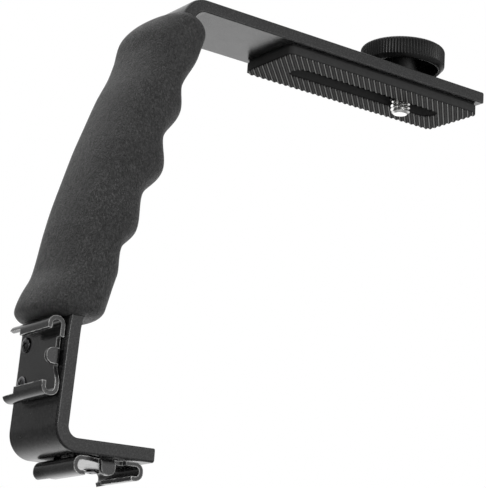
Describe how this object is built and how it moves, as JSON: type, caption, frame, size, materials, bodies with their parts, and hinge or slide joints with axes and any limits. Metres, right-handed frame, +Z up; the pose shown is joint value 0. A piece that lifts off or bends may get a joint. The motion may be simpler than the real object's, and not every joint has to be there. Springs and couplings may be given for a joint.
{
  "type": "camera flash bracket",
  "caption": "Bent steel C-shaped bracket with a soft contoured hand grip, a ribbed camera pad with a captive thumb screw in a slot, and stamped accessory shoes for lights.",
  "frame": {"origin": "on the camera screw's axis, in the plane of the pad's rib crests, with the screw where the picture shows it in its slot", "axes": "+X along the camera arm towards its free end, +Y across the strip, +Z up as pictured: the pad and the screw's thread face -Z and the knob is on the +Z side"},
  "size_m": [0.1526, 0.0314, 0.1511],
  "materials": {
    "strip_paint": "satin black paint",
    "grip_skin": "soft moulded skin with a fine leather grain",
    "pad_rubber": "ribbed black rubber",
    "glue_sheet": "matt black",
    "screw_plate": "bright nickel plate",
    "knob_plastic": "satin moulded black",
    "washer_nylon": "satin",
    "spring_steel": "blackened spring steel",
    "shoe_paint": "satin black paint",
    "black_screw": "black oxide"
  },
  "bodies": {
    "bracket": {"frame_bar": "strip_paint", "grip_sleeve": "grip_skin", "camera_pad": "pad_rubber", "pad_adhesive": "glue_sheet", "side_shoe": "shoe_paint", "side_shoe_screw_upper": "black_screw", "side_shoe_screw_lower": "black_screw", "end_shoe": "shoe_paint", "end_shoe_screw_outer": "black_screw", "end_shoe_screw_inner": "black_screw"},
    "washer_carriage": {"knob_washer": "washer_nylon"},
    "ring_carriage": {"retaining_ring": "spring_steel"},
    "screw_and_knob": {"camera_screw": "screw_plate", "thumb_knob": "knob_plastic"}
  },
  "joints": [
    {"name": "slot_slide", "type": "slide", "parent": "bracket", "child": "washer_carriage", "axis": [1, 0, 0], "range_m": [-0.0395, 0.01]},
    {"name": "screw_lift", "type": "slide", "parent": "washer_carriage", "child": "ring_carriage", "axis": [0, 0, 1], "range_m": [0, 0.0015]},
    {"name": "knob_spin", "type": "hinge", "parent": "ring_carriage", "child": "screw_and_knob", "pos_m": [0, 0, 0], "axis": [0, 0, 1], "continuous": true}
  ]
}
